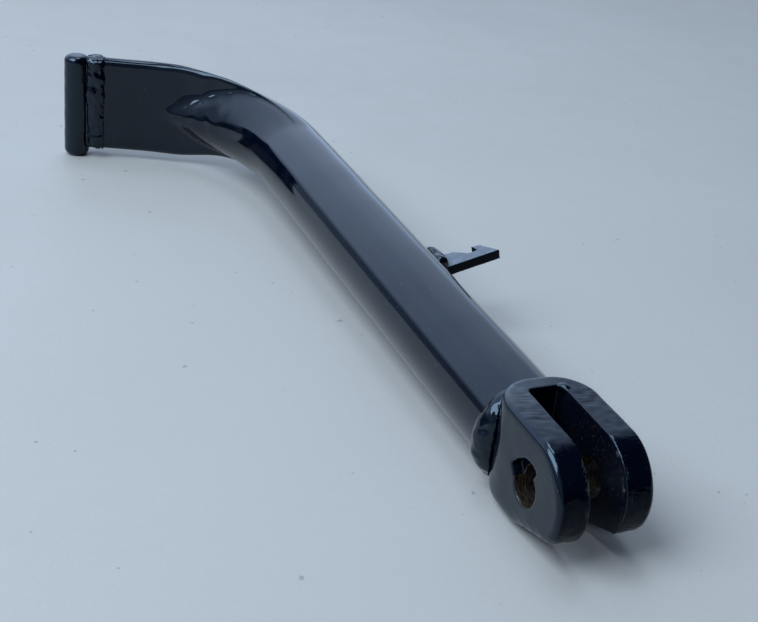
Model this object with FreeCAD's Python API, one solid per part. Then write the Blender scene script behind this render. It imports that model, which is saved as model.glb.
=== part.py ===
"""Side stand leg for a motorcycle: forked pivot end, round tube leg, pressed blade and ground bar.

Millimetres. The origin is the centre of the pivot bore. +X runs along the leg from the pivot
towards the foot, +Y is the side that the leg bends to, and +Z is up as the stand lies flat.
"""
import FreeCAD, Part
import math
import os
from FreeCAD import Vector

# Leg tube
TUBE_RADIUS = 14.0
WALL = 2.8
TUBE_DROP = 1.2            # tube axis below the pivot axis
TUBE_START = 25.5          # where the tube butts against the fork
PIVOT_TO_BEND = 259.0      # pivot axis to the corner of the leg's centre line
BEND_ANGLE = 70.5
BEND_RADIUS = 65.0
BEND_TO_FOOT = 72.3        # corner of the centre line to the ground bar's axis

# Pressed blade at the foot end
BLADE_TOP = 19.8           # blade's upper edge above the tube's axis
BLADE_BOTTOM = 18.0        # blade's lower edge below it
BLADE_HALF_THICK = 2.8
PRESS_START = 0.0          # path length from the start of the bend, where the tube stops being round
PRESS_END = 72.5           # path length where the pressed nose ends and the blade is flat
TOP_EARLY = 1.8            # over 1, the upper edge gains most of its height early along the press
TOP_EASE = 1.4             # how gently the upper edge starts to rise
FLARE_START = 42.0         # path lengths between which the lower edge flares down
FLARE_END = 68.0
NOSE_SPREAD = 0.6          # how fast the nose on the blade's inner face widens towards the tube
NOSE_TIP_SHARE = 0.02      # nose height over blade height where the nose ends
PINCH_ABOVE = 1.5          # how far the section is folded along the nose's upper edge
PINCH_BELOW = 0.4          # and along its lower edge
ROUND_POWER = 0.5          # exponent of a circular section
SECTION_POINTS = 40
SECTION_SPACING = 4.0
CAVITY_END = 65.5          # path length where the tube's walls meet
CAVITY_END_HALF = 0.35     # half width of the cavity there

# Ground bar
BAR_RADIUS = 4.9
BAR_HALF_LENGTH = 20.6
BAR_DROP = 0.7             # bar's middle below the tube's axis
BAR_END_ROUNDING = 2.4

# Pivot fork
FORK_HALF_WIDTH = 13.5
SLOT_HALF_WIDTH = 5.1
SLOT_ROOT = 19.5
SLOT_CORNER = 1.6
SLOT_OVER = 10.0           # how far the cut runs out past the nose
NOSE_RADIUS = 17.2
NOSE_HEIGHT = 0.8          # height of the foremost point of the nose
FORK_TOP = 15.5
FORK_BOTTOM = -15.2
FORK_REAR = 25.5
TOP_FRONT = -2.0           # where the flat top meets the nose arc
CHIN_X = -14.4             # ends of the sloping chin under the nose
CHIN_Z = -7.4
CHIN_END_X = 5.0
SHOULDER_RADIUS = 11.5
FACE_ROUNDING = 2.0
BORE_RADIUS = 5.25
SPIGOT_LENGTH = 12.0
SPIGOT_ROOT = 1.0          # how far the spigot reaches back into the block
SPIGOT_CLEARANCE = 0.05

# Torn pocket beside the bore, in the outer face of the left ear: (x, z) corners and depth
POCKET = ((0.0, 0.0), (4.6, -1.4), (7.6, 2.3), (5.3, 4.9), (2.2, 7.2), (-1.1, 7.7), (-4.1, 6.7), (-3.0, 4.6))
POCKET_DEPTH = 3.0

# Spring hook
HOOK_TILT = 15.0           # the plate rises away from the leg
HOOK_THICK = 3.4
HOOK_LOWER = 1.0           # the plate sits a little below a radius of the tube
HOOK_FRONT = 110.0
HOOK_REACH = 35.2
HOOK_ROOT = 10.0           # the outline starts inside the tube's radius
HOOK_ROOT_LENGTH = 8.6
NOSE_TIP = (6.6, 4.2)      # corners of the hook: (behind its front edge, in from its reach)
NOSE_INSIDE = (7.0, 7.0)
NOTCH_TOP = (4.0, 6.2)
NOTCH_FLOOR = (4.0, 9.2)
NOTCH_REAR = (7.6, 13.2)

# Weld beads
RING_CENTRE_RADIUS = 11.2
RING_BEAD = 4.2
RING_SETBACK = 2.5
RING_SHIFT_Y = 1.1         # the bead is fullest on the left
RING_SHIFT_Z = 0.5
FOOT_BEAD = 4.7
FOOT_BEAD_SETBACK = 7.7    # from the ground bar's axis, back along the blade
FOOT_BEAD_OVER = 0.2       # how far the bead wraps past the blade's edges
FOOT_BEAD_ROUNDING = 2.1
HOOK_BEAD = 3.2
HOOK_BEAD_LENGTH = 12.0
HOOK_BEAD_LEAD = 1.5       # how far the bead starts before the plate
HOOK_BEAD_PROUD = 0.2      # the bead's axis above the tube's surface
HOOK_BEAD_ROUNDING = 2.2

EDGE_TOLERANCE = 0.01


def on_axis(x, y, z):
    """A point given with z measured from the tube's axis."""
    return Vector(x, y, z - TUBE_DROP)


def path_at(length):
    """Centre point and horizontal direction of the leg, by path length from the bend's start."""
    turn = math.radians(BEND_ANGLE)
    tangent = BEND_RADIUS * math.tan(turn / 2)
    start_x = PIVOT_TO_BEND - tangent
    if length <= 0:
        return Vector(start_x + length, 0, -TUBE_DROP), 0.0
    arc_length = BEND_RADIUS * turn
    angle = min(length, arc_length) / BEND_RADIUS
    x = start_x + BEND_RADIUS * math.sin(angle)
    y = BEND_RADIUS * (1 - math.cos(angle))
    beyond = max(0.0, length - arc_length)
    x += beyond * math.cos(turn)
    y += beyond * math.sin(turn)
    return Vector(x, y, -TUBE_DROP), angle


def foot_length():
    """Path length from the bend's start to the ground bar's axis."""
    turn = math.radians(BEND_ANGLE)
    return BEND_RADIUS * turn + BEND_TO_FOOT - BEND_RADIUS * math.tan(turn / 2)


def roundness(length):
    """1 where the tube is round, falling to 0 at the tip of the pressed nose."""
    left = (PRESS_END - length) / (PRESS_END - PRESS_START)
    left = max(0.0, min(1.0, left))
    return left * (2 - left)


def top_gain(length):
    """0 where the tube is round, rising to 1 where the upper edge has its full height."""
    left = (PRESS_END - length) / (PRESS_END - PRESS_START)
    left = max(0.0, min(1.0, left))
    return (1 - left ** TOP_EARLY) ** TOP_EASE


def bottom_gain(length):
    """0 where the tube is round, rising to 1 where the lower edge has its full depth."""
    share = (length - FLARE_START) / (FLARE_END - FLARE_START)
    share = max(0.0, min(1.0, share))
    return share * share * (3 - 2 * share)


def nose_share(length, edge):
    """Share of the section's height, up to one edge, that the nose takes up."""
    full = math.tanh(NOSE_SPREAD * (PRESS_END - PRESS_START) / edge)
    here = math.tanh(NOSE_SPREAD * max(0.0, PRESS_END - length) / edge)
    return max(NOSE_TIP_SHARE, min(1.0, here / full))


def flat_half(height, edge, half_thick):
    """Half thickness of a flat section with round edges, at one height above or below its middle."""
    past = max(0.0, height - (edge - half_thick))
    return math.sqrt(max(0.0, half_thick ** 2 - past ** 2))


def section(length, inset):
    """Closed outline of the leg at one path length, set in by a wall thickness."""
    centre, heading = path_at(length)
    rounded = roundness(length)
    across = Vector(-math.sin(heading), math.cos(heading), 0)
    radius = TUBE_RADIUS - inset
    half_thick = max(CAVITY_END_HALF, BLADE_HALF_THICK - inset)
    top = radius + (BLADE_TOP - TUBE_RADIUS) * top_gain(length)
    bottom = radius + (BLADE_BOTTOM - TUBE_RADIUS) * bottom_gain(length)
    points = []
    for index in range(SECTION_POINTS):
        angle = 2 * math.pi * index / SECTION_POINTS
        upper = math.sin(angle) >= 0
        inner_side = math.cos(angle) >= 0
        edge = top if upper else bottom
        pinch = PINCH_ABOVE if upper or not inner_side else PINCH_BELOW
        height = edge * abs(math.sin(angle))
        reach = edge * nose_share(length, edge) if inner_side else edge
        level = min(1.0, height / reach)
        bulge = rounded * radius * (1 - level ** 2) ** (ROUND_POWER + pinch * (1 - rounded))
        half = bulge + (1 - rounded) * flat_half(height, edge, half_thick)
        side = half if inner_side else -half
        points.append(centre + across * side + Vector(0, 0, height if upper else -height))
    curve = Part.BSplineCurve()
    curve.interpolate(points, PeriodicFlag=True)
    return Part.Wire([curve.toShape()])


def leg_stations(last):
    """Evenly spaced path lengths of the lofted sections, from the last round one onwards."""
    count = round((last - PRESS_START) / SECTION_SPACING)
    return [PRESS_START + (last - PRESS_START) * index / count for index in range(-1, count + 1)]


def round_bar(start_x, end_x, radius):
    """A round bar along the leg's axis."""
    return Part.makeCylinder(radius, end_x - start_x, on_axis(start_x, 0, 0), Vector(1, 0, 0))


def straight_tube():
    """The straight part of the tube as a solid bar, for cutting what is welded on it."""
    return round_bar(TUBE_START, path_at(0.0)[0].x, TUBE_RADIUS)


def circle_edges(solid):
    """The circular edges of a solid."""
    return [edge for edge in solid.Edges if edge.Curve.TypeId == "Part::GeomCircle"]


def ground_bar_blank():
    """The ground bar's upright cylinder, at the end of the blade."""
    centre = path_at(foot_length())[0]
    base = centre - Vector(0, 0, BAR_DROP + BAR_HALF_LENGTH)
    return Part.makeCylinder(BAR_RADIUS, 2 * BAR_HALF_LENGTH, base)


def pressed_solid(last, inset):
    """Solid from the tube's fork end to a path length, set in by a wall thickness."""
    stations = leg_stations(last)
    outlines = [section(station, inset) for station in stations]
    pressed = Part.makeLoft(outlines, True, False)
    back = TUBE_START - path_at(stations[0])[0].x
    return pressed.fuse(Part.Face(outlines[0]).extrude(Vector(back, 0, 0)))


def make_leg_tube():
    """Hollow tube, bent and pressed flat at the foot end, where its walls meet."""
    outer = pressed_solid(foot_length(), 0.0)
    return outer.cut(pressed_solid(CAVITY_END, WALL)).cut(ground_bar_blank())


def make_foot_bar():
    """Upright round bar that stands on the ground, with rounded ends."""
    bar = ground_bar_blank()
    return bar.makeFillet(BAR_END_ROUNDING, circle_edges(bar))


def fork_outline():
    """Side outline of the fork: flat top, round nose, sloping chin and flat bottom."""
    rear_top = Vector(FORK_REAR, 0, FORK_TOP)
    top_front = Vector(TOP_FRONT, 0, FORK_TOP)
    nose = Vector(-NOSE_RADIUS, 0, NOSE_HEIGHT)
    chin = Vector(CHIN_X, 0, CHIN_Z)
    chin_end = Vector(CHIN_END_X, 0, FORK_BOTTOM)
    rear_bottom = Vector(FORK_REAR, 0, FORK_BOTTOM)
    edges = [
        Part.makeLine(rear_top, top_front),
        Part.Arc(top_front, nose, chin).toShape(),
        Part.makeLine(chin, chin_end),
        Part.makeLine(chin_end, rear_bottom),
        Part.makeLine(rear_bottom, rear_top),
    ]
    return Part.Face(Part.Wire(edges))


def upright_edges(solid, x):
    """The edges of a solid that stand upright at one x."""
    there = [edge for edge in solid.Edges if all(abs(v.X - x) < EDGE_TOLERANCE for v in edge.Vertexes)]
    return [edge for edge in there if abs(edge.Vertexes[0].Y - edge.Vertexes[1].Y) < EDGE_TOLERANCE]


def make_fork_block():
    """The fork before its slot and bore are cut, with rounded shoulders and face edges."""
    blank = fork_outline()
    blank.translate(Vector(0, -FORK_HALF_WIDTH, 0))
    block = blank.extrude(Vector(0, 2 * FORK_HALF_WIDTH, 0))
    block = block.makeFillet(SHOULDER_RADIUS, upright_edges(block, FORK_REAR))
    outer_edges = []
    for face in block.Faces:
        flat = face.Surface.TypeId == "Part::GeomPlane"
        if flat and abs(abs(face.CenterOfMass.y) - FORK_HALF_WIDTH) < EDGE_TOLERANCE:
            outer_edges += face.Edges
    return block.makeFillet(FACE_ROUNDING, outer_edges)


def make_slot():
    """The space between the ears, with small corner radii at its root."""
    length = SLOT_ROOT + NOSE_RADIUS + SLOT_OVER
    corner = Vector(SLOT_ROOT - length, -SLOT_HALF_WIDTH, -length / 2)
    slot = Part.makeBox(length, 2 * SLOT_HALF_WIDTH, length, corner)
    return slot.makeFillet(SLOT_CORNER, upright_edges(slot, SLOT_ROOT))


def make_fork(block):
    """Pivot fork: two ears with a slot between them, one bore, and a spigot inside the tube."""
    along_y = Vector(0, 1, 0)
    bore = Part.makeCylinder(BORE_RADIUS, 4 * FORK_HALF_WIDTH, Vector(0, -2 * FORK_HALF_WIDTH, 0), along_y)
    corners = [Vector(x, FORK_HALF_WIDTH - POCKET_DEPTH, z) for x, z in POCKET]
    pocket = Part.Face(Part.makePolygon(corners + [corners[0]])).extrude(along_y * 2 * POCKET_DEPTH)
    spigot_radius = TUBE_RADIUS - WALL - SPIGOT_CLEARANCE
    spigot = round_bar(FORK_REAR - SPIGOT_ROOT, FORK_REAR + SPIGOT_LENGTH, spigot_radius)
    return block.cut(make_slot()).cut(bore).cut(pocket).fuse(spigot).removeSplitter()


def make_spring_hook():
    """Flat plate hook on the leg's right side, with a lip that keeps the spring's end loop."""
    outline = [(HOOK_FRONT, HOOK_ROOT), (HOOK_FRONT, HOOK_REACH)]
    for behind, inward in (NOSE_TIP, NOSE_INSIDE, NOTCH_TOP, NOTCH_FLOOR, NOTCH_REAR):
        outline.append((HOOK_FRONT + behind, HOOK_REACH - inward))
    outline.append((HOOK_FRONT + HOOK_ROOT_LENGTH, HOOK_ROOT))
    points = [Vector(x, -reach, -HOOK_THICK / 2) for x, reach in outline]
    face = Part.Face(Part.makePolygon(points + [points[0]]))
    plate = face.extrude(Vector(0, 0, HOOK_THICK))
    plate.rotate(Vector(0, 0, 0), Vector(1, 0, 0), -HOOK_TILT)
    plate.translate(Vector(0, 0, -TUBE_DROP - HOOK_LOWER))
    return plate.cut(straight_tube())


def make_fork_weld(block):
    """Bead around the joint of tube and fork."""
    centre = on_axis(TUBE_START - RING_SETBACK, RING_SHIFT_Y, RING_SHIFT_Z)
    ring = Part.makeTorus(RING_CENTRE_RADIUS, RING_BEAD, centre, Vector(1, 0, 0))
    return ring.cut(straight_tube()).cut(block)


def make_foot_weld(bar, leg):
    """One bead all round the blade where it meets the ground bar."""
    centre = path_at(foot_length() - FOOT_BEAD_SETBACK)[0]
    bead_height = BLADE_BOTTOM + BLADE_TOP + 2 * FOOT_BEAD_OVER
    base = centre - Vector(0, 0, BLADE_BOTTOM + FOOT_BEAD_OVER)
    bead = Part.makeCylinder(FOOT_BEAD, bead_height, base)
    bead = bead.makeFillet(FOOT_BEAD_ROUNDING, circle_edges(bead))
    return bead.cut(bar).cut(leg)


def make_hook_weld(side, hook):
    """Bead along one face of the spring hook's root."""
    angle = math.radians(HOOK_TILT)
    lift = side * HOOK_THICK / 2
    out = TUBE_RADIUS + HOOK_BEAD_PROUD
    y = -out * math.cos(angle) + lift * math.sin(angle)
    z = out * math.sin(angle) + lift * math.cos(angle)
    start = on_axis(HOOK_FRONT - HOOK_BEAD_LEAD, y, z)
    bead = Part.makeCylinder(HOOK_BEAD, HOOK_BEAD_LENGTH, start, Vector(1, 0, 0))
    bead = bead.makeFillet(HOOK_BEAD_ROUNDING, circle_edges(bead))
    return bead.cut(straight_tube()).cut(hook)


def largest_solid(shape):
    """The main solid of a cut, without slivers."""
    return max(shape.Solids, key=lambda solid: solid.Volume)


def build():
    """Every piece of the stand, by node name."""
    leg = make_leg_tube()
    block = make_fork_block()
    bar = make_foot_bar()
    hook = make_spring_hook()
    return {
        "pivot_fork": make_fork(block),
        "leg_tube": leg,
        "foot_bar": bar,
        "spring_hook": hook,
        "fork_weld": make_fork_weld(block),
        "foot_weld": make_foot_weld(bar, leg),
        "hook_weld_upper": make_hook_weld(1, hook),
        "hook_weld_lower": make_hook_weld(-1, hook),
    }


def main():
    os.makedirs("parts", exist_ok=True)
    for name, shape in build().items():
        solid = largest_solid(shape)
        print(name, len(shape.Solids), round(solid.Volume, 1), solid.isValid())
        solid.exportStep("parts/" + name + ".step")


main()
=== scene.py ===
"""Motorcycle side stand leg lying on a pale table: smooth leg, remeshed pieces, paint and wear.

Lengths are metres unless a name ends in _MM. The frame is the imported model's: origin at the
pivot bore, +X along the leg, +Y the side that the leg bends to, +Z up.
"""

import math

import bmesh
import bpy
from mathutils import Matrix, Vector, noise


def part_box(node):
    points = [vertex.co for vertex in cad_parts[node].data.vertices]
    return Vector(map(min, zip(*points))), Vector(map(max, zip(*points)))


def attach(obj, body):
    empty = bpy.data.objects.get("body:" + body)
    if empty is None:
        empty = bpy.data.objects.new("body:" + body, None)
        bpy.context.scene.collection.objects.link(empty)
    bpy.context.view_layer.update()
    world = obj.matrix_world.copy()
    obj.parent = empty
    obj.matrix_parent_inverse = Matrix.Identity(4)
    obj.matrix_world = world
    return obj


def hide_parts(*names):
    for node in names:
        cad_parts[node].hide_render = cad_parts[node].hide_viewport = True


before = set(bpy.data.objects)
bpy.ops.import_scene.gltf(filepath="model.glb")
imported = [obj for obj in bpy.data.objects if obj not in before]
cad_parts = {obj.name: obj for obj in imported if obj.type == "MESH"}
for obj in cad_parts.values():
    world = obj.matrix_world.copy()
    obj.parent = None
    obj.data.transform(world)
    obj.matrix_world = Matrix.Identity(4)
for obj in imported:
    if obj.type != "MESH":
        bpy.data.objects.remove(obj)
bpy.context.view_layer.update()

MM = 0.001

# Camera
CAMERA_PLACE = Vector((-0.232843, 0.168610, 0.189398))
CAMERA_AIM = Vector((0.092947, 0.014543, 0.0))
CAMERA_ROLL = math.radians(-6.81)
CAMERA_LENS = 64.116
CAMERA_SENSOR = 36.0
CAMERA_NEAREST = 0.01

# Leg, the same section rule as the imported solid, in millimetres
TUBE_RADIUS_MM = 14.0
TUBE_DROP_MM = 1.2
PIVOT_TO_BEND_MM = 259.0
BEND_ANGLE = math.radians(70.5)
BEND_RADIUS_MM = 65.0
BEND_TO_FOOT_MM = 72.3
BLADE_TOP_MM = 19.8
BLADE_BOTTOM_MM = 18.0
BLADE_HALF_THICK_MM = 2.8
PRESS_START_MM = 0.0
PRESS_END_MM = 72.5
TOP_EARLY = 1.8
TOP_EASE = 1.4
FLARE_START_MM = 42.0
FLARE_END_MM = 68.0
NOSE_SPREAD = 0.6
NOSE_TIP_SHARE = 0.02
PINCH_ABOVE = 1.5
PINCH_BELOW = 0.4
ROUND_POWER = 0.5           # exponent of a circular section
LEG_START_MM = 24.5
LEG_POINTS = 144
LEG_SPACING_MM = 1.6
LEG_WAVE_MM = 0.10          # low hills along the tube
LEG_WAVE_PER_MM = 0.05
DENT_PLACE_MM = Vector((256.0, 28.0, 9.0))    # dents on the nose's upper edge
DENT_REACH_MM = 20.0
DENT_DEPTH_MM = 1.1
DENTS_PER_MM = 0.15
NOSE_SOFT_PASSES = 10
NOSE_SOFT_FROM_MM = 30.0    # path length where the nose's creases start

# Fork
BORE_RADIUS_MM = 5.25
SLOT_HALF_WIDTH_MM = 5.1
SOFT_LEVELS = ((-1.0, 25), (-4.0, 40), (-7.0, 60), (-10.0, 80))   # height and smoothing passes
SOFT_LEAN = 0.30            # the soft part reaches higher towards the tube
SOFT_FROM_SLOT_MM = 3.0
SOFT_FROM_BORE_MM = 2.5
DRIP_PLACE_MM = Vector((18.6, -5.2, 15.2))    # paint drop on the corner of the slot's root
DRIP_REACH_MM = 1.7
DRIP_HEIGHT_MM = 0.6
BORE_RING_MM = 0.04         # fine rings round the bore's wall
BORE_RINGS_PER_MM = 5.2     # in radians
BORE_SKIN_MM = 0.3          # places this near to the bore belong to its wall
BORE_FACING = 0.7           # unless they face along the bore
SLOT_SKIN_MM = 0.4
SLOT_HILLS = 0.5            # how much of the hills the slot's faces have
RIM_FADE = 1.6              # how fast the grooves fade towards an ear's face
CUT_RADIUS_MM = 17.0        # turns the angle round the bore into a length along the rim
CUT_LEAN = 0.28             # how far a groove leans across the rim
CUTS_PER_MM = 5.4           # in radians
CUT_DEPTH_MM = 0.032
CUT_PATCH_BASE = 0.35       # above 0, the grooves cover more than half of the rim
CUT_PATCH_SHIFT = Vector((3.0, 1.0, 7.0))

# Smooth noise: its height, in millimetres where it moves a surface, and its frequency per millimetre
FORK_HILLS = (0.10, 0.16)
RIM_HILLS = (0.10, 0.45)
CUT_DRIFT = (1.8, 0.11)
CUT_JITTER = (3.0, 0.35)
CUT_PATCHES = (1.4, 0.19)
BAR_HILLS = (0.12, 0.25)
HOOK_HILLS = (0.06, 0.4)

# Weld beads: node, height of the lumps in millimetres, and seed
BEADS = (
    ("fork_weld", 0.36, 6.0),
    ("foot_weld", 0.85, 2.0),
    ("hook_weld_upper", 0.5, 3.0),
    ("hook_weld_lower", 0.5, 4.0),
)
BEAD_SHIFT = (7.3, 3.1, 1.7)        # times the seed, so that no two beads are alike
BEAD_LUMPS_PER_MM = 0.20
BEAD_RIPPLES = (0.35, 0.48)
BEAD_HOLLOWS_PER_MM = 0.26
BEAD_HOLLOWS_FROM = 0.12
BEAD_HOLLOWS_DEPTH = 2.2

# Remeshing: voxel size in metres and smoothing passes
FORK_MESH = (0.00035, 3)
BAR_MESH = (0.00035, 4)
HOOK_MESH = (0.00025, 3)
BEAD_MESH = (0.0003, 10)
SMOOTHING = 0.5

# Paint
PAINT_IOR = 1.5
LEG_PAINT_IOR = 1.42
CLEAR_WEIGHT = 0.4          # thin clear layer over the leg's paint
CLEAR_IOR = 1.35
CLEAR_ROUGHNESS = 0.04
SHEEN_TINT = (0.70, 0.88, 1.0)
PAINT_DEEP = (0.0002, 0.0009, 0.0042)
PAINT_PALE = (0.0006, 0.0020, 0.0070)
# Pale colour for real dust specks in the paint, and also for the painted highlight on the fork's and the
# hook's tops
DUST_AND_HIGHLIGHT = (0.17, 0.19, 0.22)
CHIP = (0.16, 0.15, 0.14)
RUST_DARK = (0.004, 0.003, 0.002)
RUST_LIGHT = (0.070, 0.044, 0.024)
# Depth of the peel in millimetres and roughness
LEG_FINISH = (0.008, 0.06)
BAR_FINISH = (0.014, 0.09)
HOOK_FINISH = (0.014, 0.09)
WELD_FINISH = (0.03, 0.07)
FORK_FINISH = (0.012, 0.10)
GLOSS_SPREAD = (0.7, 1.4)   # the roughness varies between these shares of it
FINE_PEEL = 0.12            # depth of the finest peel over that of the broad one
DULL_SHEEN = 0.12           # specular level of faces that point along -X
FULL_SHEEN = 0.5
DULL_FACING = (-0.95, -0.75)
BARE_ROUGHNESS = 0.25       # added to the roughness in the bore and the slot

# Where the fork's painted highlight, bare and worn places begin and end, in millimetres
HIGHLIGHT_X_MM = (2.0, 20.0)
HIGHLIGHT_Y_MM = (-6.0, 7.0)
BORE_EDGE_MM = (5.45, 5.6)
SLOT_EDGE_MM = (5.2, 5.5)
SLOT_ROOT_MM = (18.5, 19.8)
GRIT_X_MM = (14.0, 19.5)
NICK_Y_MM = (6.0, 6.9)
NICK_RADIUS_MM = (15.0, 16.2)
NICK_X_MM = (-9.0, -7.0)
NICK_Z_MM = (1.0, 3.0)

# Table
TABLE_HALF = 2.5
TABLE_DARK = (0.47, 0.43, 0.385)
TABLE_PALE = (0.50, 0.46, 0.41)
TABLE_GRAIN = (0.40, 0.355, 0.30)
TABLE_SPECK = (0.10, 0.09, 0.08)
TABLE_BUMP_MM = 0.02

# Lights: name, place, width, height, power and colour of each soft window
LIGHT_AIM = Vector((0.15, 0.02, 0.0))
LIGHTS = (
    ("side_window", Vector((0.10, 0.75, 1.0)), 0.9, 0.9, 16.3, (0.735, 0.925, 1.15)),
    ("roof_window", Vector((0.52, -0.10, 1.15)), 0.40, 0.50, 2.6, (0.72, 0.94, 1.18)),
)

# Room, with angles in degrees
ROOM_STRENGTH = 1.17
SKY_TINT = (0.80, 1.0, 1.38)
HORIZON_TINT = (0.74, 1.0, 1.42)
AZIMUTH_SPAN = (-180.0, 180.0)
ELEVATION_SPAN = (-90.0, 90.0)
HORIZON_BLEND = (6.0, 12.0)
# Strength of the room by azimuth, above and at the horizon, and of the window by elevation
UPPER_ROOM = (
    (-170, 0.02), (-62, 0.03), (-45, 0.35), (-28, 0.75), (-10, 1.0), (20, 1.05),
    (48, 0.9), (62, 0.5), (85, 0.42), (115, 0.28), (145, 0.22), (162, 0.02),
)
LOWER_ROOM = (
    (-170, 0.02), (-60, 0.03), (-46, 0.40), (-30, 0.78), (-12, 0.75), (8, 0.34),
    (28, 0.24), (42, 0.15), (56, 0.03), (115, 0.18), (150, 0.25), (162, 0.02),
)
WINDOW_HEIGHTS = ((0, 0.85), (18, 0.95), (32, 1.0), (42, 0.9), (54, 0.6), (90, 0.5))


def add_object(name, mesh):
    """A new object in the scene that carries a mesh."""
    piece = bpy.data.objects.new(name, mesh)
    bpy.context.scene.collection.objects.link(piece)
    return piece


def evaluated_mesh(piece):
    """The piece's mesh with its modifiers applied."""
    graph = bpy.context.evaluated_depsgraph_get()
    return bpy.data.meshes.new_from_object(piece.evaluated_get(graph))


def hill(spot, rule):
    """Smooth noise at a place in millimetres, by a rule of height and frequency."""
    height, per_mm = rule
    return height * noise.noise(spot * per_mm)


def melt(body, verts, passes):
    """Averages vertices with their neighbours, which rounds edges and creases."""
    for _ in range(passes):
        bmesh.ops.smooth_vert(body, verts=verts, factor=SMOOTHING,
                              use_axis_x=True, use_axis_y=True, use_axis_z=True)


# ---------------------------------------------------------------- leg

def path_at(length):
    """Centre of the leg and its heading, by path length from the bend's start."""
    start_x = PIVOT_TO_BEND_MM - BEND_RADIUS_MM * math.tan(BEND_ANGLE / 2)
    if length <= 0:
        return Vector((start_x + length, 0, -TUBE_DROP_MM)), 0.0
    arc_length = BEND_RADIUS_MM * BEND_ANGLE
    angle = min(length, arc_length) / BEND_RADIUS_MM
    beyond = max(0.0, length - arc_length)
    x = start_x + BEND_RADIUS_MM * math.sin(angle) + beyond * math.cos(BEND_ANGLE)
    y = BEND_RADIUS_MM * (1 - math.cos(angle)) + beyond * math.sin(BEND_ANGLE)
    return Vector((x, y, -TUBE_DROP_MM)), angle


def foot_length():
    """Path length from the bend's start to the ground bar's axis."""
    straight = BEND_TO_FOOT_MM - BEND_RADIUS_MM * math.tan(BEND_ANGLE / 2)
    return BEND_RADIUS_MM * BEND_ANGLE + straight


def roundness(length):
    """1 where the tube is round, falling to 0 at the tip of the pressed nose."""
    left = (PRESS_END_MM - length) / (PRESS_END_MM - PRESS_START_MM)
    left = max(0.0, min(1.0, left))
    return left * (2 - left)


def top_gain(length):
    """0 where the tube is round, rising to 1 where the upper edge has its full height."""
    left = (PRESS_END_MM - length) / (PRESS_END_MM - PRESS_START_MM)
    left = max(0.0, min(1.0, left))
    return (1 - left ** TOP_EARLY) ** TOP_EASE


def bottom_gain(length):
    """0 where the tube is round, rising to 1 where the lower edge has its full depth."""
    share = (length - FLARE_START_MM) / (FLARE_END_MM - FLARE_START_MM)
    share = max(0.0, min(1.0, share))
    return share * share * (3 - 2 * share)


def nose_share(length, edge):
    """Share of the section's height, up to one edge, that the nose takes up."""
    full = math.tanh(NOSE_SPREAD * (PRESS_END_MM - PRESS_START_MM) / edge)
    here = math.tanh(NOSE_SPREAD * max(0.0, PRESS_END_MM - length) / edge)
    return max(NOSE_TIP_SHARE, min(1.0, here / full))


def flat_half(height, edge):
    """Half thickness of the blade with its round edges, at one height above or below its middle."""
    past = max(0.0, height - (edge - BLADE_HALF_THICK_MM))
    return math.sqrt(max(0.0, BLADE_HALF_THICK_MM ** 2 - past ** 2))


def leg_ring(length):
    """Points around the leg's outside at one path length, in millimetres."""
    centre, heading = path_at(length)
    rounded = roundness(length)
    across = Vector((-math.sin(heading), math.cos(heading), 0))
    top = TUBE_RADIUS_MM + (BLADE_TOP_MM - TUBE_RADIUS_MM) * top_gain(length)
    bottom = TUBE_RADIUS_MM + (BLADE_BOTTOM_MM - TUBE_RADIUS_MM) * bottom_gain(length)
    points = []
    for index in range(LEG_POINTS):
        angle = 2 * math.pi * index / LEG_POINTS
        upper = math.sin(angle) >= 0
        inner_side = math.cos(angle) >= 0
        edge = top if upper else bottom
        pinch = PINCH_ABOVE if upper or not inner_side else PINCH_BELOW
        height = edge * abs(math.sin(angle))
        reach = edge * nose_share(length, edge) if inner_side else edge
        level = min(1.0, height / reach)
        bulge = rounded * TUBE_RADIUS_MM * (1 - level ** 2) ** (ROUND_POWER + pinch * (1 - rounded))
        half = bulge + (1 - rounded) * flat_half(height, edge)
        side = half if inner_side else -half
        points.append(centre + across * side + Vector((0, 0, height if upper else -height)))
    return points


def make_leg():
    """The tube, its bend and the pressed blade as one smooth skin with closed ends."""
    first = LEG_START_MM - path_at(0.0)[0].x
    last = foot_length()
    count = round((last - first) / LEG_SPACING_MM)
    lengths = [first + (last - first) * step / count for step in range(count + 1)]
    body = bmesh.new()
    rings = [[body.verts.new(point * MM) for point in leg_ring(length)] for length in lengths]
    for near, far in zip(rings, rings[1:]):
        for index in range(LEG_POINTS):
            after = (index + 1) % LEG_POINTS
            body.faces.new((near[index], near[after], far[after], far[index]))
    body.faces.new(list(reversed(rings[0])))
    body.faces.new(rings[-1])
    bmesh.ops.recalc_face_normals(body, faces=body.faces)
    creased = [vert for length, ring in zip(lengths, rings) if length > NOSE_SOFT_FROM_MM for vert in ring]
    melt(body, creased, NOSE_SOFT_PASSES)
    body.normal_update()
    ripple(body, leg_wave)
    return finish_mesh("leg", body)


def leg_wave(place, normal):
    """Low hills along the leg and dents on the pressed nose, in metres."""
    spot = place / MM
    hills = LEG_WAVE_MM * noise.noise(spot * LEG_WAVE_PER_MM)
    near = max(0.0, 1 - (spot - DENT_PLACE_MM).length / DENT_REACH_MM)
    dents = DENT_DEPTH_MM * near * noise.noise(spot * DENTS_PER_MM)
    return (hills + dents) * MM


# ---------------------------------------------------------------- remeshed pieces

def ripple(body, offset):
    """Moves every vertex along its normal by offset(place, normal)."""
    moves = [(vert, vert.normal.copy() * offset(vert.co, vert.normal)) for vert in body.verts]
    for vert, move in moves:
        vert.co += move


def soften(body, wanted, passes):
    """Melts the vertices that wanted(place) picks, which rounds their edges."""
    melt(body, [vert for vert in body.verts if wanted(vert.co / MM)], passes)


def finish_mesh(name, body):
    """A smooth-shaded mesh object from a bmesh."""
    mesh = bpy.data.meshes.new(name)
    body.to_mesh(mesh)
    body.free()
    for face in mesh.polygons:
        face.use_smooth = True
    return add_object(name, mesh)


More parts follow.
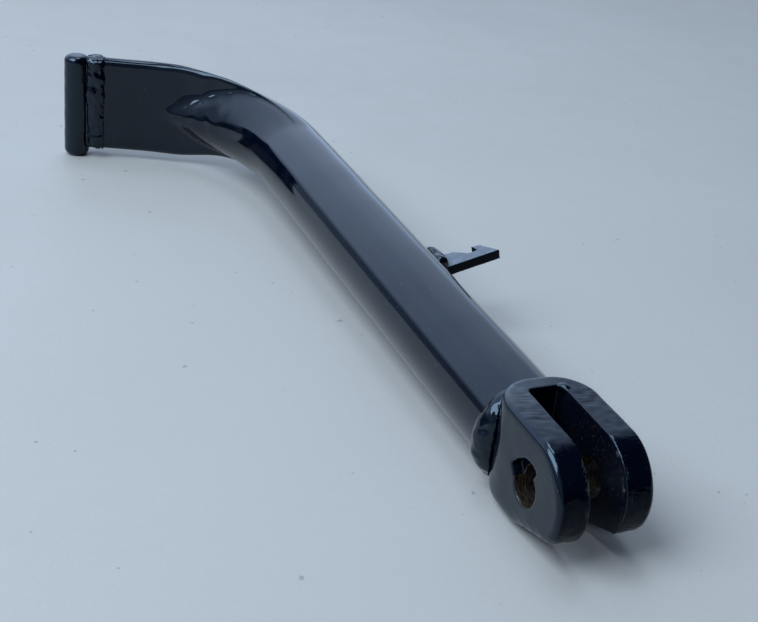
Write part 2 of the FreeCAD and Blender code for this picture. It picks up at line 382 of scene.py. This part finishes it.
def even_mesh(node, name, rule):
    """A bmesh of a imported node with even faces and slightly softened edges."""
    voxel, passes = rule
    copy = add_object(name + "_blank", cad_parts[node].data.copy())
    remesh = copy.modifiers.new("even", "REMESH")
    remesh.mode = "VOXEL"
    remesh.voxel_size = voxel
    smooth = copy.modifiers.new("soften", "SMOOTH")
    smooth.iterations = passes
    smooth.factor = SMOOTHING
    mesh = evaluated_mesh(copy)
    bpy.data.objects.remove(copy)
    body = bmesh.new()
    body.from_mesh(mesh)
    bpy.data.meshes.remove(mesh)
    body.normal_update()
    return body


def reskin(node, name, rule, offset):
    """An even-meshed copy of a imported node, moved along its normals by offset(place, normal)."""
    body = even_mesh(node, name, rule)
    ripple(body, offset)
    return finish_mesh(name, body)


def make_fork():
    """The fork with soft lower edges, flame-cut rims, a ringed bore and a paint drop."""
    body = even_mesh("pivot_fork", "fork", FORK_MESH)
    for level, passes in SOFT_LEVELS:
        soften(body, lambda spot: fork_is_soft(spot, level), passes)
    body.normal_update()
    ripple(body, fork_offset)
    return finish_mesh("fork", body)


def fork_is_soft(spot, level):
    """True on the outer, lower part of an ear, away from the slot and the bore."""
    low = spot.z - SOFT_LEAN * spot.x
    off_slot = abs(spot.y) > SLOT_HALF_WIDTH_MM + SOFT_FROM_SLOT_MM
    off_bore = math.hypot(spot.x, spot.z) > BORE_RADIUS_MM + SOFT_FROM_BORE_MM
    return low < level and off_slot and off_bore


def cut_grooves(spot):
    """Height of the flame-cut grooves and hills on a rim, in millimetres."""
    around = math.atan2(spot.z, spot.x) * CUT_RADIUS_MM
    lean = spot.y * CUT_LEAN + hill(spot, CUT_DRIFT)
    groove = math.sin((around + lean) * CUTS_PER_MM + hill(spot, CUT_JITTER))
    gain, per_mm = CUT_PATCHES
    patch = max(0.0, CUT_PATCH_BASE + gain * noise.noise(spot * per_mm + CUT_PATCH_SHIFT))
    return CUT_DEPTH_MM * patch * groove + hill(spot, RIM_HILLS)


def fork_offset(place, normal):
    """Low hills, flame-cut rims, rings in the bore and the paint drop, in metres."""
    spot = place / MM
    hills = hill(spot, FORK_HILLS)
    radius = math.hypot(spot.x, spot.z)
    if radius < BORE_RADIUS_MM + BORE_SKIN_MM and abs(normal.y) < BORE_FACING:
        return BORE_RING_MM * math.sin(spot.y * BORE_RINGS_PER_MM) * MM
    drip = DRIP_HEIGHT_MM * max(0.0, 1 - ((spot - DRIP_PLACE_MM).length / DRIP_REACH_MM) ** 2)
    if abs(spot.y) < SLOT_HALF_WIDTH_MM + SLOT_SKIN_MM:
        return (SLOT_HILLS * hills + drip) * MM
    rim = max(0.0, 1 - abs(normal.y) * RIM_FADE)
    return (hills + drip + rim * cut_grooves(spot)) * MM


def bead_offset(seed, height):
    """A rule for the lumps, ripples and hollows of a hand-laid bead under thick paint."""
    shift = Vector([seed * part for part in BEAD_SHIFT])

    def offset(place, normal):
        spot = place / MM + shift
        lumps = noise.noise(spot * BEAD_LUMPS_PER_MM)
        share, per_mm = BEAD_RIPPLES
        ripples = share * noise.noise(spot * per_mm + shift)
        hollows = max(0.0, noise.noise(spot * BEAD_HOLLOWS_PER_MM - shift) - BEAD_HOLLOWS_FROM)
        return height * (lumps + ripples - BEAD_HOLLOWS_DEPTH * hollows) * MM
    return offset


def plain_offset(rule, seed):
    """A rule for slightly uneven stock."""
    height, per_mm = rule
    shift = Vector((seed, seed * 0.5, -seed))

    def offset(place, normal):
        return height * noise.noise(place / MM * per_mm + shift) * MM
    return offset


# ---------------------------------------------------------------- shader nodes

def map_range(tree, source, low, high, to_low=0.0, to_high=1.0):
    """Maps a value from one range to another, held at its ends."""
    node = tree.nodes.new("ShaderNodeMapRange")
    node.inputs["From Min"].default_value = low
    node.inputs["From Max"].default_value = high
    node.inputs["To Min"].default_value = to_low
    node.inputs["To Max"].default_value = to_high
    tree.links.new(source, node.inputs["Value"])
    return node.outputs["Result"]


def math_node(tree, kind, *values):
    """A math node of one or two values, each a socket or a number."""
    node = tree.nodes.new("ShaderNodeMath")
    node.operation = kind
    for socket, value in zip(node.inputs, values):
        if isinstance(value, (int, float)):
            socket.default_value = value
        else:
            tree.links.new(value, socket)
    return node.outputs["Value"]


def mix_colors(tree, kind, share, first, second):
    """Blends two colours, each a socket or an RGB tuple."""
    node = tree.nodes.new("ShaderNodeMix")
    node.data_type = "RGBA"
    node.blend_type = kind
    if isinstance(share, float):
        node.inputs["Factor"].default_value = share
    else:
        tree.links.new(share, node.inputs["Factor"])
    for socket, value in ((node.inputs["A"], first), (node.inputs["B"], second)):
        if isinstance(value, tuple):
            socket.default_value = (*value, 1.0)
        else:
            tree.links.new(value, socket)
    return node.outputs["Result"]


def split_xyz(tree, vector):
    """The X, Y and Z of a vector socket."""
    node = tree.nodes.new("ShaderNodeSeparateXYZ")
    tree.links.new(vector, node.inputs["Vector"])
    return node.outputs["X"], node.outputs["Y"], node.outputs["Z"]


class Nodes:
    """Short calls for building one node material."""

    def __init__(self, name):
        self.material = bpy.data.materials.new(name)
        self.material.use_nodes = True
        self.tree = self.material.node_tree
        self.shader = self.tree.nodes["Principled BSDF"]
        self.set("IOR", PAINT_IOR)
        self.set("Specular Tint", (*SHEEN_TINT, 1.0))
        self.place = self.tree.nodes.new("ShaderNodeTexCoord").outputs["Object"]

    def set(self, socket, value):
        """A constant on one of the shader's own sockets."""
        self.shader.inputs[socket].default_value = value

    def link(self, source, target):
        """A link between two sockets."""
        self.tree.links.new(source, target)

    def noise(self, size_mm, detail=2.0, rough=0.5, stretch=None):
        """Cloudy noise whose cells are about size_mm wide."""
        node = self.tree.nodes.new("ShaderNodeTexNoise")
        node.inputs["Scale"].default_value = 1 / (size_mm * MM)
        node.inputs["Detail"].default_value = detail
        node.inputs["Roughness"].default_value = rough
        source = self.place
        if stretch:
            mapping = self.tree.nodes.new("ShaderNodeMapping")
            mapping.inputs["Scale"].default_value = stretch
            self.link(self.place, mapping.inputs["Vector"])
            source = mapping.outputs["Vector"]
        self.link(source, node.inputs["Vector"])
        return node.outputs["Fac"]

    def spread(self, source, low, high, to_low=0.0, to_high=1.0):
        """Maps a value from one range to another, held at its ends."""
        return map_range(self.tree, source, low, high, to_low, to_high)

    def past(self, source, span_mm):
        """0 before a span of places and 1 past it."""
        start, end = span_mm
        return self.spread(source, start * MM, end * MM, 0.0, 1.0)

    def before(self, source, span_mm):
        """1 before a span of places and 0 past it."""
        start, end = span_mm
        return self.spread(source, start * MM, end * MM, 1.0, 0.0)

    def math(self, kind, *values):
        """A math node of one or two values, each a socket or a number."""
        return math_node(self.tree, kind, *values)

    def product(self, first, *others):
        """The product of several values."""
        for other in others:
            first = self.math("MULTIPLY", first, other)
        return first

    def mix(self, share, first, second):
        """A colour between two, each a socket or an RGB tuple."""
        return mix_colors(self.tree, "MIX", share, first, second)

    def facing(self):
        """The X, Y and Z of the surface's own normal."""
        return split_xyz(self.tree, self.tree.nodes.new("ShaderNodeNewGeometry").outputs["Normal"])

    def coordinates(self):
        """The X, Y and Z of the surface in the frame, in metres."""
        return split_xyz(self.tree, self.place)

    def bump(self, height, depth_mm, under=None):
        """A bump of a given depth, on top of another one if there is one."""
        node = self.tree.nodes.new("ShaderNodeBump")
        node.inputs["Distance"].default_value = depth_mm * MM
        node.inputs["Strength"].default_value = 1.0
        self.link(height, node.inputs["Height"])
        if under is not None:
            self.link(under, node.inputs["Normal"])
        return node.outputs["Normal"]

    def finish(self, color, gloss, normal):
        """Connects the shader's colour, roughness and normal."""
        self.link(color, self.shader.inputs["Base Color"])
        self.link(gloss, self.shader.inputs["Roughness"])
        self.link(normal, self.shader.inputs["Normal"])
        return self.material


# ---------------------------------------------------------------- materials

def paint_base(nodes, finish):
    """Black gloss paint: faint colour drift, uneven gloss, fine peel and a few specks."""
    peel_mm, roughness = finish
    tone = nodes.spread(nodes.noise(9.0), 0.35, 0.65)
    color = nodes.mix(tone, PAINT_DEEP, PAINT_PALE)
    specks = nodes.spread(nodes.noise(0.55, 1.0), 0.755, 0.775, 0.0, 0.4)
    color = nodes.mix(specks, color, DUST_AND_HIGHLIGHT)
    least, most = GLOSS_SPREAD
    gloss = nodes.spread(nodes.noise(6.0, 4.0), 0.3, 0.7, roughness * least, roughness * most)
    peel = nodes.bump(nodes.noise(1.5, 1.5), peel_mm)
    return color, gloss, nodes.bump(nodes.noise(0.28, 2.0), peel_mm * FINE_PEEL, peel)


def dull_cut_faces(nodes):
    """Lowers the sheen of faces that point along -X, which otherwise mirror too much of the pale table."""
    forward = nodes.facing()[0]
    sheen = nodes.spread(forward, *DULL_FACING, DULL_SHEEN, FULL_SHEEN)
    nodes.link(sheen, nodes.shader.inputs["Specular IOR Level"])


def make_paint(name, finish):
    """Plain gloss paint."""
    nodes = Nodes(name)
    return nodes.finish(*paint_base(nodes, finish))


def make_leg_paint():
    """Paint under a thin clear layer."""
    nodes = Nodes("leg_paint")
    nodes.set("IOR", LEG_PAINT_IOR)
    nodes.set("Coat Weight", CLEAR_WEIGHT)
    nodes.set("Coat IOR", CLEAR_IOR)
    nodes.set("Coat Roughness", CLEAR_ROUGHNESS)
    return nodes.finish(*paint_base(nodes, LEG_FINISH))


def make_hook_paint():
    """Paint with a painted highlight, a pale mix that lightens the plate's top, and low sheen on its -X
    edges.
    """
    nodes = Nodes("hook_paint")
    color, gloss, normal = paint_base(nodes, HOOK_FINISH)
    # Painted highlight: a pale mix on the plate's upward faces
    highlight_share = nodes.spread(nodes.noise(2.5, 3.0), 0.3, 0.7, 0.55, 0.85)
    top = nodes.product(nodes.spread(nodes.facing()[2], 0.75, 0.93), highlight_share)
    color = nodes.mix(top, color, DUST_AND_HIGHLIGHT)
    dull_cut_faces(nodes)
    return nodes.finish(color, gloss, normal)


def add_painted_highlight(nodes, color, x, y):
    """A painted highlight, a pale mix on the fork's upward faces, fullest at the rear and on the left."""
    top = nodes.spread(nodes.facing()[2], 0.55, 0.98, 0.0, 0.30)
    # patchy strength of the painted highlight
    highlight_patches = nodes.spread(nodes.noise(4.0, 3.0, 0.6), 0.3, 0.7, 0.4, 1.0)
    highlight_share = nodes.product(nodes.past(x, HIGHLIGHT_X_MM), nodes.past(y, HIGHLIGHT_Y_MM), top, highlight_patches)
    return nodes.mix(highlight_share, color, DUST_AND_HIGHLIGHT)


def add_nicks(nodes, color, x, z, radius, from_middle):
    """Small pale nicks at the slot's front edges."""
    at_edge = nodes.product(nodes.before(from_middle, NICK_Y_MM), nodes.past(radius, NICK_RADIUS_MM))
    ahead = nodes.product(nodes.before(x, NICK_X_MM), nodes.past(z, NICK_Z_MM))
    nicks = nodes.spread(nodes.noise(2.4, 4.0, 0.7, (0.6, 1.6, 0.6)), 0.54, 0.66, 0.0, 0.6)
    return nodes.mix(nodes.product(at_edge, ahead, nicks), color, CHIP)


def make_fork_paint():
    """Paint on the ears, bare brown steel in the bore and brown dust in the slot."""
    nodes = Nodes("fork_paint")
    color, gloss, normal = paint_base(nodes, FORK_FINISH)
    dull_cut_faces(nodes)
    x, y, z = nodes.coordinates()
    # Painted highlight: a pale mix on the fork's upward rear faces
    color = add_painted_highlight(nodes, color, x, y)
    radius = nodes.math("SQRT", nodes.math("ADD", nodes.product(x, x), nodes.product(z, z)))
    in_bore = nodes.before(radius, BORE_EDGE_MM)
    grain = nodes.spread(nodes.noise(0.7, 4.0, 0.7, (0.3, 2.5, 0.3)), 0.46, 0.64)
    color = nodes.mix(in_bore, color, nodes.mix(grain, RUST_DARK, RUST_LIGHT))
    from_middle = nodes.math("ABSOLUTE", y)
    in_slot = nodes.product(nodes.before(from_middle, SLOT_EDGE_MM), nodes.before(x, SLOT_ROOT_MM))
    soot = nodes.spread(nodes.noise(5.0, 3.0, 0.6), 0.40, 0.70, 0.0, 0.30)
    color = nodes.mix(nodes.product(in_slot, soot), color, RUST_DARK)
    grit = nodes.spread(nodes.noise(0.6, 2.0, 0.6), 0.63, 0.73, 0.0, 0.8)
    color = nodes.mix(nodes.product(in_slot, grit, nodes.before(x, GRIT_X_MM)), color, RUST_LIGHT)
    color = add_nicks(nodes, color, x, z, radius, from_middle)
    bare = nodes.product(nodes.math("MAXIMUM", in_slot, in_bore), BARE_ROUGHNESS)
    return nodes.finish(color, nodes.math("ADD", gloss, bare), normal)


def make_table():
    """Pale board with a cloudy tone, fine grain and a few specks."""
    nodes = Nodes("table")
    broad = nodes.spread(nodes.noise(160.0, 2.0), 0.3, 0.7)
    color = nodes.mix(broad, TABLE_DARK, TABLE_PALE)
    fine = nodes.spread(nodes.noise(1.3, 6.0, 0.7), 0.3, 0.7, 0.0, 0.25)
    color = nodes.mix(fine, color, TABLE_GRAIN)
    specks = nodes.spread(nodes.noise(3.5, 1.0), 0.78, 0.80, 0.0, 0.4)
    color = nodes.mix(specks, color, TABLE_SPECK)
    gloss = nodes.spread(nodes.noise(20.0, 3.0), 0.3, 0.7, 0.5, 0.62)
    return nodes.finish(color, gloss, nodes.bump(nodes.noise(0.9, 4.0), TABLE_BUMP_MM))


# ---------------------------------------------------------------- surroundings

def table_line():
    """Two points that the stand rests on, at the fork's weld and at the ground bar."""
    weld_low, weld_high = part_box("fork_weld")
    bar_low, bar_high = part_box("foot_bar")
    near = Vector(((weld_low.x + weld_high.x) / 2, 0, weld_low.z))
    far = Vector(((bar_low.x + bar_high.x) / 2, 0, bar_low.z))
    return near, far


def make_floor():
    """The table top, in contact with the weld and the ground bar."""
    near, far = table_line()
    slope = (far.z - near.z) / (far.x - near.x)
    body = bmesh.new()
    corners = []
    for x, y in ((-1, -1), (1, -1), (1, 1), (-1, 1)):
        place_x = x * TABLE_HALF
        corners.append(body.verts.new((place_x, y * TABLE_HALF, near.z + slope * (place_x - near.x))))
    body.faces.new(corners)
    floor = finish_mesh("table", body)
    floor.data.materials.append(make_table())


def fill_ramp(tree, stops, span):
    """A grey ramp node from (position, strength) stops over a span of positions."""
    ramp = tree.nodes.new("ShaderNodeValToRGB")
    elements = ramp.color_ramp.elements
    while len(elements) < len(stops):
        elements.new(0.5)
    low, high = span
    for element, (place, strength) in zip(elements, stops):
        element.position = (place - low) / (high - low)
        element.color = (strength, strength, strength, 1.0)
    return ramp


def direction_angles(tree):
    """Azimuth and elevation of the looked-at direction, in degrees."""
    place = tree.nodes.new("ShaderNodeTexCoord")
    x, y, z = split_xyz(tree, place.outputs["Generated"])
    angles = (math_node(tree, "ARCTAN2", y, x), math_node(tree, "ARCSINE", z))
    return [math_node(tree, "DEGREES", angle) for angle in angles]


def make_world():
    """A room with a wide bluish window towards +X and a dark side towards -X and -Y."""
    world = bpy.data.worlds.new("surroundings")
    bpy.context.scene.world = world
    world.use_nodes = True
    tree = world.node_tree
    azimuth, elevation = direction_angles(tree)
    around = map_range(tree, azimuth, *AZIMUTH_SPAN)
    up = map_range(tree, elevation, *ELEVATION_SPAN)
    upper = fill_ramp(tree, UPPER_ROOM, AZIMUTH_SPAN)
    lower = fill_ramp(tree, LOWER_ROOM, AZIMUTH_SPAN)
    fall = fill_ramp(tree, WINDOW_HEIGHTS, ELEVATION_SPAN)
    tree.links.new(around, upper.inputs["Fac"])
    tree.links.new(around, lower.inputs["Fac"])
    tree.links.new(up, fall.inputs["Fac"])
    high = mix_colors(tree, "MULTIPLY", 1.0, upper.outputs["Color"], fall.outputs["Color"])
    share = map_range(tree, elevation, *HORIZON_BLEND)
    strength = mix_colors(tree, "MIX", share, lower.outputs["Color"], high)
    tint = mix_colors(tree, "MIX", share, HORIZON_TINT, SKY_TINT)
    color = mix_colors(tree, "MULTIPLY", 1.0, strength, tint)
    tree.links.new(color, tree.nodes["Background"].inputs["Color"])
    tree.nodes["Background"].inputs["Strength"].default_value = ROOM_STRENGTH


def make_light(name, place, width, height, power, color):
    """A soft window that faces the stand."""
    light = bpy.data.lights.new(name, "AREA")
    light.shape = "RECTANGLE"
    light.size = width
    light.size_y = height
    light.energy = power
    light.color = color
    lamp = bpy.data.objects.new(name, light)
    lamp.location = place
    lamp.rotation_mode = "QUATERNION"
    lamp.rotation_quaternion = (LIGHT_AIM - place).to_track_quat("-Z", "Y")
    bpy.context.scene.collection.objects.link(lamp)


def make_camera():
    """The camera, rolled about its line of sight."""
    forward = (CAMERA_AIM - CAMERA_PLACE).normalized()
    side = forward.cross(Vector((0, 0, 1))).normalized()
    level_up = side.cross(forward)
    up = math.cos(CAMERA_ROLL) * level_up + math.sin(CAMERA_ROLL) * side
    right = forward.cross(up)
    turn = Matrix((right, up, -forward)).transposed().to_4x4()
    data = bpy.data.cameras.new("view")
    data.lens = CAMERA_LENS
    data.sensor_width = CAMERA_SENSOR
    data.clip_start = CAMERA_NEAREST
    camera = bpy.data.objects.new("view", data)
    camera.matrix_world = Matrix.Translation(CAMERA_PLACE) @ turn
    bpy.context.scene.collection.objects.link(camera)
    bpy.context.scene.camera = camera


# ---------------------------------------------------------------- the stand

def dress(piece, material, node):
    """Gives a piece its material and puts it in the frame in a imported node's stead."""
    piece.data.materials.clear()
    piece.data.materials.append(material)
    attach(piece, "root")
    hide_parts(node)


def make_stand():
    """Every piece of the stand."""
    dress(make_leg(), make_leg_paint(), "leg_tube")
    dress(make_fork(), make_fork_paint(), "pivot_fork")
    bar = reskin("foot_bar", "bar", BAR_MESH, plain_offset(BAR_HILLS, 3.0))
    dress(bar, make_paint("bar_paint", BAR_FINISH), "foot_bar")
    hook = reskin("spring_hook", "hook", HOOK_MESH, plain_offset(HOOK_HILLS, 5.0))
    dress(hook, make_hook_paint(), "spring_hook")
    weld_paint = make_paint("weld_paint", WELD_FINISH)
    for node, height, seed in BEADS:
        bead = reskin(node, node + "_bead", BEAD_MESH, bead_offset(seed, height))
        dress(bead, weld_paint, node)


bpy.context.scene.view_settings.view_transform = "Standard"
make_camera()
make_floor()
make_world()
for light in LIGHTS:
    make_light(*light)
make_stand()
